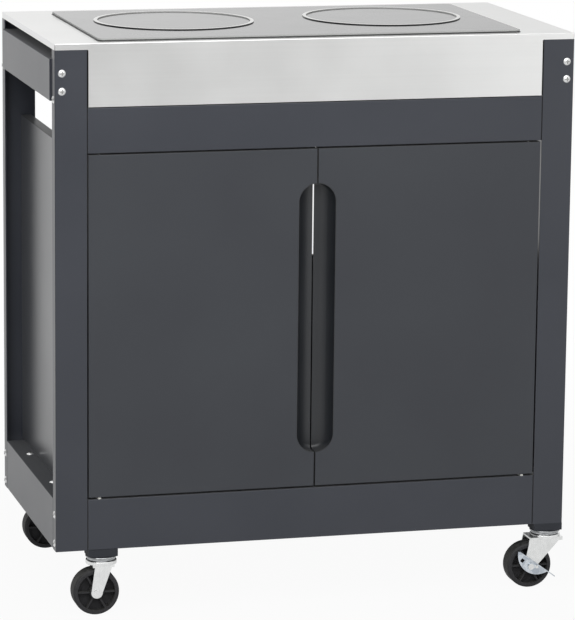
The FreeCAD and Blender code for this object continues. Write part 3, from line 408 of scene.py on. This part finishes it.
# Glass seal: a bead of black silicone drawn round the glass and smoothed to a hollow with a wet finger.
# It fills the corner between the edge of the glass and the steel.
glass_low, glass_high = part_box("hob_glass")
corner_radius = 0.009
bead_width = 0.0018
bead_height = 0.0022
bead_overlap = 0.0001
bead_steps = 5
arc_steps = 8
bead_profile = [(-bead_overlap, 0.0), (-bead_overlap, bead_height)]
for step in range(1, bead_steps + 1):
    turn = 0.5 * math.pi * step / bead_steps
    bead_profile.append((bead_width * (1.0 - math.cos(turn)), bead_height * (1.0 - math.sin(turn))))
bead_points = []
for corner, (sign_x, sign_y) in enumerate(((1, 1), (-1, 1), (-1, -1), (1, -1))):
    centre_x = (glass_high.x if sign_x > 0 else glass_low.x) - sign_x * corner_radius
    centre_y = (glass_high.y if sign_y > 0 else glass_low.y) - sign_y * corner_radius
    for step in range(arc_steps + 1):
        turn = 0.5 * math.pi * (corner + step / arc_steps)
        for out, rise in bead_profile:
            reach = corner_radius + out
            bead_points.append((centre_x + reach * math.cos(turn), centre_y + reach * math.sin(turn),
                                glass_low.z + rise))
bead_count = len(bead_profile)
bead_faces = []
for first in range(0, len(bead_points), bead_count):
    second = (first + bead_count) % len(bead_points)
    for spot in range(bead_count):
        after = (spot + 1) % bead_count
        bead_faces.append((first + after, second + after, second + spot, first + spot))
silicone_dark = (0.010, 0.010, 0.010, 1.0)
silicone_light = (0.022, 0.022, 0.022, 1.0)
silicone, tree, shader, place = new_finish("silicone", Specular_IOR_Level=0.4)
drag = noise(tree, place["Object"], scale=350.0, detail=3.0)
feed(tree, shader, Base_Color=tint(tree, drag, silicone_dark, silicone_light),
     Roughness=spread(tree, drag, low=0.3, high=0.7, first=0.42, last=0.6),
     Normal=bump(tree, drag, strength=0.3, distance=0.0001))
glass_seal = new_piece("glass_seal", bead_points, bead_faces, silicone, smooth=True)
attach(glass_seal, "cabinet")

# Zone rings: raised steel trim rings cemented to the glass, bright steel on top. Their walls are painted
# as painted shade, black outside and grey inside. The turning left fine marks round the ring.
hob_middle = -0.004
zone_spread = 0.176
zone_y = 0.016
ring_middle = 0.1275
painted_outer_wall_shade = (0.012, 0.012, 0.013, 1.0)
painted_inner_wall_shade = ((0.38, 0.38, 0.375, 1.0), (0.46, 0.46, 0.455, 1.0))
ring_bright = ((0.72, 0.72, 0.71, 1.0), (0.82, 0.82, 0.81, 1.0))


def from_hob_middle(tree, axes):
    return calc(tree, "ABSOLUTE", calc(tree, "SUBTRACT", axes["X"], hob_middle))


def from_zone(tree, place):
    """The distance from the middle of the zone on the same side."""
    axes = split(tree, place)
    spot = add(tree, "CombineXYZ", {"X": calc(tree, "SUBTRACT", from_hob_middle(tree, axes), zone_spread),
                                    "Y": calc(tree, "SUBTRACT", axes["Y"], zone_y)}).outputs[0]
    return add(tree, "VectorMath", {0: spot}, operation="LENGTH").outputs["Value"]


ring_trim, tree, shader, place = new_finish("ring_trim")
within = under(tree, from_zone(tree, place["Object"]), ring_middle)
on_top = spread(tree, split(tree, place["Normal"])["Z"], low=0.5, high=0.9)
turning = noise(tree, place["Object"], scale=1400.0)
# Painted shade: the walls are black outside the ring and grey inside it.
wall = tint(tree, within, painted_outer_wall_shade, tint(tree, turning, *painted_inner_wall_shade))
feed(tree, shader, Base_Color=tint(tree, on_top, wall, tint(tree, turning, *ring_bright)), Metallic=on_top,
     Roughness=spread(tree, turning, low=0.2, high=0.8, first=0.28, last=0.4),
     Normal=bump(tree, turning, strength=0.1, distance=0.00005))
finish(ring_trim, *[f"{side}_zone_ring" for side in sides])

# Hob tray: folded from galvanised sheet and fixed under the worktop's cut-out; it holds the coils and board.
# The zinc has set in patches of crystal, some of them rubbed.
plating_marks, inside, result = new_effect(
    "plating_marks", {"Place": "Vector", "Patch Scale": "Float"}, {"Patches": "Float", "Scuffs": "Float"})
spangle = add(plating_marks, "TexVoronoi", {"Vector": inside["Place"], "Scale": inside["Patch Scale"]})
patches = add(plating_marks, "SeparateColor", {0: spangle.outputs["Color"]}).outputs["Red"]
rub_run = (1.0, 1.0, 0.15)
rubbed = noise(plating_marks, stretched(plating_marks, inside["Place"], rub_run), scale=500.0, detail=4.0)
feed(plating_marks, result, Patches=patches, Scuffs=spread(plating_marks, rubbed, low=0.45, high=0.75))

scuff_share = 0.35
patch_share = 0.6
scuff_dimming = 0.82


def plating(name, dull, bright, patch_scale, smooth, rough):
    """Zinc or nickel over steel, from dull to bright and from smooth to rough over its patches."""
    material, tree, shader, place = new_finish(name, Metallic=1.0)
    marks = add(tree, "Group", {"Place": place["Object"], "Patch Scale": patch_scale},
                node_tree=plating_marks).outputs
    worn = times(tree, marks["Scuffs"], scuff_share)
    uneven = calc(tree, "ADD", times(tree, marks["Patches"], patch_share), worn)
    scuffed = (*(scuff_dimming * part for part in dull[:3]), 1.0)
    feed(tree, shader, Base_Color=tint(tree, worn, tint(tree, marks["Patches"], dull, bright), scuffed),
         Roughness=between(tree, uneven, smooth, rough),
         Normal=bump(tree, marks["Scuffs"], strength=0.08, distance=0.00005))
    return material


tray_zinc = plating("tray_zinc", dull=(0.52, 0.54, 0.56, 1.0), bright=(0.66, 0.68, 0.70, 1.0),
                    patch_scale=70.0, smooth=0.3, rough=0.5)
finish(tray_zinc, "hob_tray")

# Coils: flat windings of copper wire, one under each zone, wound on moulded grey carriers in the tray.
# The lacquered turns lie side by side from the core to the rim.
coil_inner, coil_outer = 0.03, 0.105
wire_half = 0.0013
carrier_grey = (0.07, 0.07, 0.068, 1.0)
copper_shaded = (0.16, 0.06, 0.025, 1.0)
painted_copper_highlight = (0.55, 0.24, 0.10, 1.0)
winding, tree, shader, place = new_finish("winding")
reach = from_zone(tree, place["Object"])
# Painted shade and highlight: each turn goes from shade at its edges to a highlight on its crown.
wire = spread(tree, calc(tree, "PINGPONG", reach, wire_half), low=0.0, high=wire_half)
wound = times(tree, calc(tree, "GREATER_THAN", reach, coil_inner), under(tree, reach, coil_outer))
varnish = noise(tree, place["Object"], scale=600.0)
feed(tree, shader, Base_Color=tint(tree, wound, carrier_grey, tint(tree, wire, copper_shaded, painted_copper_highlight)),
     Roughness=spread(tree, varnish, low=0.3, high=0.7, first=0.35, last=0.5),
     Normal=bump(tree, times(tree, wire, wound), strength=0.5, distance=0.0006))
finish(winding, *[f"{side}_coil" for side in sides])

# Control board: a circuit board on standoffs in the tray, with copper tracks under its green lacquer.
# An aluminium heat sink stands on its middle, and sleeved capacitors stand beside that.
board_top = 0.8707
sink_half = 0.036
lacquer_green = {"Color1": (0.02, 0.13, 0.05, 1.0), "Color2": (0.03, 0.17, 0.07, 1.0)}
track_green = (0.10, 0.28, 0.12, 1.0)
sink_metal = ((0.32, 0.33, 0.34, 1.0), (0.48, 0.49, 0.50, 1.0))
sleeve_blue = ((0.015, 0.018, 0.03, 1.0), (0.03, 0.034, 0.05, 1.0))
board_lacquer, tree, shader, place = new_finish("board_lacquer")
axes = split(tree, place["Object"])
standing = calc(tree, "GREATER_THAN", axes["Z"], board_top)
on_sink = under(tree, from_hob_middle(tree, axes), sink_half)
tracks = add(tree, "TexBrick", {"Vector": place["Object"], "Scale": 160.0, "Mortar": track_green,
                                "Mortar Size": 0.03, **lacquer_green}).outputs["Color"]
grain = noise(tree, place["Object"], scale=900.0)
mounted = tint(tree, on_sink, tint(tree, grain, *sleeve_blue), tint(tree, grain, *sink_metal))
feed(tree, shader, Base_Color=tint(tree, standing, tracks, mounted),
     Roughness=spread(tree, grain, low=0.3, high=0.7, first=0.35, last=0.55),
     Normal=bump(tree, grain, strength=0.1, distance=0.0001))
finish(board_lacquer, "control_board")

# Gland and catches: the gland and grommet for the cord at the rear, and the housings of the door catches.
# All are moulded in black plastic with a fine spark-eroded grain and faint flow marks.
plastic_dark = (0.016, 0.016, 0.017, 1.0)
plastic_light = (0.03, 0.03, 0.031, 1.0)
moulded_black, tree, shader, place = new_finish("moulded_black")
grain = noise(tree, place["Object"], scale=2200.0, detail=3.0)
flow = spread(tree, noise(tree, place["Object"], scale=60.0, detail=3.0), low=0.3, high=0.7)
feed(tree, shader, Base_Color=tint(tree, flow, plastic_dark, plastic_light),
     Roughness=between(tree, flow, first=0.42, last=0.58),
     Normal=bump(tree, grain, strength=0.25, distance=0.00012))
finish(moulded_black, "cable_gland", "magnet_catches")

# Doors: two flush pans, each with half of the pull let into its meeting edge. Half a pull is welded up from
# strips and pressed caps. The pull and the edges of the pans are painted darker, a painted shade in the recess
# and the gaps.
painted_door_edge_shade = (0.008, 0.008, 0.009, 1.0)
door_peel = {"peel_scale": 1300.0, "peel_depth": 0.00018}
door_coat = powder_coat("door_coat", dark=(0.032, 0.035, 0.043, 1.0), light=(0.039, 0.043, 0.051, 1.0),
                        smooth=0.46, rough=0.54, Sheen_Weight=0.08, **door_peel)
tree = door_coat.node_tree
facing = split(tree, add(tree, "TexCoord").outputs["Normal"])["Y"]
on_edge = spread(tree, calc(tree, "ABSOLUTE", facing), low=0.1, high=0.4, first=1.0, last=0.0)
# Painted shade: the edges of the pans, facing into the gaps, are painted near black.
cover(door_coat, on_edge, painted_door_edge_shade)
finish(door_coat, *[f"{side}_door_skin" for side in sides])
# Painted shade: the pull is painted much darker than the pans.
scoop_coat = powder_coat("scoop_coat", dark=(0.012, 0.014, 0.017, 1.0), light=(0.018, 0.020, 0.024, 1.0),
                         smooth=0.38, rough=0.46, Specular_IOR_Level=0.65, **door_peel)
finish(scoop_coat, *[f"{side}_pull_scoop" for side in sides])

# Pivots and strike plates: the doors turn on pins in small pivot plates, above and below, and a strike plate
# on each door meets its magnet catch. All are of pressed, zinc-plated steel and spot-welded to the pans.
bright_zinc = plating("bright_zinc", dull=(0.88, 0.89, 0.885, 1.0), bright=(0.95, 0.96, 0.955, 1.0),
                      patch_scale=160.0, smooth=0.16, rough=0.28)
finish(bright_zinc, *[f"{side}_{piece}" for side in sides for piece in ("door_pivots", "strike_plate")])

# Hinge bushes: nylon bushes pressed into the front rails for the pivot pins, white below and black above.
# The turning left fine rings round them.
bush_divide = 0.5
ring_run = (1.0, 1.0, 9.0)
nylon_white = ((0.72, 0.72, 0.68, 1.0), (0.84, 0.84, 0.80, 1.0))
nylon_black = ((0.012, 0.012, 0.012, 1.0), (0.025, 0.025, 0.025, 1.0))
turned_nylon, tree, shader, place = new_finish("turned_nylon", Specular_IOR_Level=0.45)
rings = noise(tree, stretched(tree, place["Object"], ring_run), scale=500.0)
upper_pair = calc(tree, "GREATER_THAN", split(tree, place["Object"])["Z"], bush_divide)
nylon = tint(tree, upper_pair, tint(tree, rings, *nylon_white), tint(tree, rings, *nylon_black))
feed(tree, shader, Base_Color=nylon,
     Roughness=spread(tree, rings, low=0.3, high=0.7, first=0.4, last=0.55),
     Normal=bump(tree, rings, strength=0.15, distance=0.0001))
finish(turned_nylon, "hinge_bushes")

# Glide buttons: white nylon studs pressed into the lower front rail under the hinge side of each door.
# A shut door's lower edge slides over them; the back of each is cut flat beside the pivot bush.
glide_x, glide_y = 0.3536, -0.2214
glide_flat = -0.2199
glide_low = 0.191
glide_profile = ((0.0030, 0.0), (0.0030, 0.0012), (0.0027, 0.0019), (0.0019, 0.0024), (0.0009, 0.0026))
glide_steps = 28
for side, sign in sides.items():
    glide_points = []
    for radius, rise in glide_profile:
        for step in range(glide_steps):
            turn = math.tau * step / glide_steps
            back = min(glide_y + radius * math.sin(turn), glide_flat)
            glide_points.append((sign * glide_x + radius * math.cos(turn), back, glide_low + rise))
    button = new_piece(f"{side}_glide_button", glide_points, shell(glide_points, glide_steps), turned_nylon)
    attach(button, "cabinet")

# Screws: domed cross-head screws of satin plated steel, through the posts and the lower side rails.
# The flat walls and floor of each cross slot are painted grey, a painted shade.
painted_slot_shade = (0.38, 0.38, 0.37, 1.0)
screw_plate = plating("screw_plate", dull=(0.84, 0.85, 0.85, 1.0), bright=(0.94, 0.94, 0.93, 1.0),
                      patch_scale=700.0, smooth=0.42, rough=0.54)
tree = screw_plate.node_tree
plain = add(tree, "NewGeometry").outputs["True Normal"]
axes = split(tree, add(tree, "VectorMath", {0: plain}, operation="ABSOLUTE").outputs[0])
squarest = calc(tree, "MAXIMUM", calc(tree, "MAXIMUM", axes["X"], axes["Y"]), axes["Z"])
# Painted shade: the walls and floor of each slot are grey.
cover(screw_plate, spread(tree, squarest, low=0.984, high=0.992), painted_slot_shade)
finish(screw_plate, "front_screws", "side_screws")

# Castors: a coated block under each corner, then a round top plate, raceway and fork of pressed, bright
# zinc-plated steel. The plates are painted a darker zinc, a painted shade.
corners = [f"{end}_{side}" for end in ends for side in sides]
block_coat = powder_coat("block_coat", dark=(0.034, 0.037, 0.044, 1.0), light=(0.042, 0.045, 0.053, 1.0),
                         peel_scale=1500.0, peel_depth=0.0002, smooth=0.62, rough=0.72, Specular_IOR_Level=0.2)
finish(block_coat, *[f"{corner}_castor_block" for corner in corners])
finish(bright_zinc, *[f"{corner}_castor_{piece}" for corner in corners for piece in ("fork", "axle")])
# Painted shade: the plates are much darker than the forks.
race_zinc = plating("race_zinc", dull=(0.32, 0.33, 0.34, 1.0), bright=(0.50, 0.51, 0.52, 1.0),
                    patch_scale=240.0, smooth=0.07, rough=0.14)
finish(race_zinc, *[f"{corner}_castor_plate" for corner in corners])

# Brake levers: pressed leaves on the outer ends of the right axles, blue-passivated, so darker than the forks.
# The upper side of the folded edge is painted dark grey, a painted shade under the fork.
shaded_facing = (0.59, 0.0, 0.81)
painted_edge_shade = (0.20, 0.21, 0.23, 1.0)
lever_blue = plating("lever_blue", dull=(0.50, 0.55, 0.61, 1.0), bright=(0.78, 0.83, 0.88, 1.0),
                     patch_scale=90.0, smooth=0.16, rough=0.3)
tree = lever_blue.node_tree
slope = add(tree, "VectorMath", {0: add(tree, "TexCoord").outputs["Normal"], 1: shaded_facing},
            operation="DOT_PRODUCT").outputs["Value"]
# Painted shade: faces turned to the fork are dark grey.
cover(lever_blue, spread(tree, slope, low=0.7, high=0.9), painted_edge_shade)
finish(lever_blue, *[f"{end}_right_brake_lever" for end in ends])

# Lever rivets: a domed rivet through each brake lever beside the axle, which holds the brake's spring.
# Bright zinc-plated steel, set with a round punch.
rivet_x, rivet_z = 0.382, 0.0365
leaf_face = 0.2294
rivet_profile = ((0.0034, -0.0002), (0.0034, 0.0003), (0.0029, 0.0009), (0.0019, 0.0012), (0.0007, 0.0013))
rivet_steps = 24
for end, sign in ends.items():
    rivet_points = []
    for radius, out in rivet_profile:
        for step in range(rivet_steps):
            turn = math.tau * step / rivet_steps
            rivet_points.append((rivet_x + radius * math.cos(turn), sign * (leaf_face + out),
                                 rivet_z + radius * math.sin(turn)))
    rivet_faces = shell(rivet_points, rivet_steps, flipped=sign > 0)
    rivet = new_piece(f"{end}_lever_rivet", rivet_points, rivet_faces, bright_zinc, smooth=True)
    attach(rivet, f"{end}_right_brake")

# Wheels: each is moulded in one piece of hard black rubber, with six ribs between hub and rim.
# The tread is dull and greyed from rolling, and the faces keep more of their black.
tread_grey = ((0.030, 0.030, 0.029, 1.0), (0.055, 0.055, 0.053, 1.0))
face_black = ((0.027, 0.027, 0.029, 1.0), (0.037, 0.037, 0.040, 1.0))
wheel_rubber, tree, shader, place = new_finish("wheel_rubber", Specular_IOR_Level=0.3)
outward = calc(tree, "ABSOLUTE", split(tree, place["Normal"])["Y"])
rolled = spread(tree, outward, low=0.25, high=0.75, first=1.0, last=0.0)
grain = noise(tree, place["Object"], scale=1600.0, detail=3.0)
scuff = spread(tree, noise(tree, place["Object"], scale=130.0, detail=4.0), low=0.4, high=0.7)
rubber = tint(tree, rolled, tint(tree, scuff, *face_black), tint(tree, scuff, *tread_grey))
feed(tree, shader, Base_Color=rubber, Roughness=between(tree, scuff, first=0.62, last=0.74),
     Normal=bump(tree, grain, strength=0.2, distance=0.0001))
finish(wheel_rubber, *[f"{corner}_castor_wheel" for corner in corners])


# Studio: a pale floor and white surroundings that also show in the steel and the glass, and four soft lamps.
# The floor takes the unit's shadow and turns fully white towards its rim. What the unit mirrors of the floor
# and the walls is dimmer in places, as in a room with dark corners.
def ray_kinds(tree):
    """1 for rays from the camera, and 1 for rays that the unit mirrors or lets through."""
    path = add(tree, "LightPath").outputs
    return path["Is Camera Ray"], calc(tree, "MAXIMUM", path["Is Glossy Ray"], path["Is Transmission Ray"])


white = (1.0, 1.0, 1.0, 1.0)
floor_grey = (0.36, 0.36, 0.36, 1.0)
floor_reach = 3.2
floor_steps = 96
floor_paint = bpy.data.materials.new("floor_paint")
floor_paint.use_nodes = True
tree = floor_paint.node_tree
tree.nodes.clear()
ground = add(tree, "TexCoord").outputs["Object"]
away = add(tree, "VectorMath", {0: ground}, operation="LENGTH").outputs["Value"]
from_camera, mirrored = ray_kinds(tree)
seen = times(tree, from_camera, spread(tree, away, low=0.6, high=2.0, first=0.95))
near_unit = spread(tree, away, low=0.4, high=2.2, first=0.64)
to_the_right = spread(tree, split(tree, ground)["X"], low=0.1, high=1.2, first=1.0, last=0.72)
mirrored = times(tree, mirrored, times(tree, near_unit, to_the_right))
dull = add(tree, "BsdfDiffuse", {"Color": floor_grey})
glowing = add(tree, "Emission", {"Color": white, "Strength": 1.0})
mixed = add(tree, "MixShader", {0: calc(tree, "MAXIMUM", seen, mirrored), 1: dull.outputs[0],
                                2: glowing.outputs[0]})
tree.links.new(mixed.outputs[0], add(tree, "OutputMaterial").inputs["Surface"])
floor_turns = [math.tau * step / floor_steps for step in range(floor_steps)]
floor_rim = [(floor_reach * math.cos(turn), floor_reach * math.sin(turn), 0.0) for turn in floor_turns]
floor = new_piece("studio_floor", floor_rim, [list(range(floor_steps))], floor_paint)

ambient = 0.28
dim_left = 0.12
dim_front = 0.31
dim_right = 0.40


def blend(tree, mask, first, second):
    """The first value where the mask is 0, the second where it is 1; each may be a socket."""
    return add(tree, "Mix", {0: mask, 2: first, 3: second}).outputs[0]


world = bpy.data.worlds.new("studio")
world.use_nodes = True
scene.world = world
tree = world.node_tree
tree.nodes.clear()
towards = split(tree, add(tree, "TexCoord").outputs["Generated"])
front_wall = times(tree, spread(tree, towards["X"], low=-0.6, high=0.1, first=dim_left),
                   spread(tree, towards["X"], low=0.1, high=0.4, first=dim_front))
back_wall = times(tree, spread(tree, towards["X"], low=-0.97, high=-0.6, first=dim_left),
                  spread(tree, towards["X"], low=0.19, high=0.8, first=1.0, last=dim_right))
room = blend(tree, spread(tree, towards["Y"], low=-0.3, high=0.5), front_wall, back_wall)
from_camera, mirrored = ray_kinds(tree)
strength = blend(tree, from_camera, blend(tree, mirrored, ambient, room), 1.0)
sky = add(tree, "Background", {"Color": white, "Strength": strength})
tree.links.new(sky.outputs[0], add(tree, "OutputWorld").inputs["Surface"])

lamp_aim = Vector((0.0, 0.0, 0.5))


def lamp(name, place, power, width):
    light = bpy.data.lights.new(name, "AREA")
    light.energy = power
    light.size = width
    holder = bpy.data.objects.new(name, light)
    holder.location = place
    holder.rotation_euler = (lamp_aim - Vector(place)).to_track_quat("-Z", "Y").to_euler()
    scene.collection.objects.link(holder)


lamp("key", (-0.6, -1.85, 2.7), power=92.0, width=3.4)
lamp("card", (2.0, -3.0, 0.6), power=3.4, width=1.2)
lamp("fill", (-2.4, -3.0, 1.3), power=12.0, width=1.6)
lamp("top", (0.0, 0.6, 3.4), power=10.0, width=3.0)
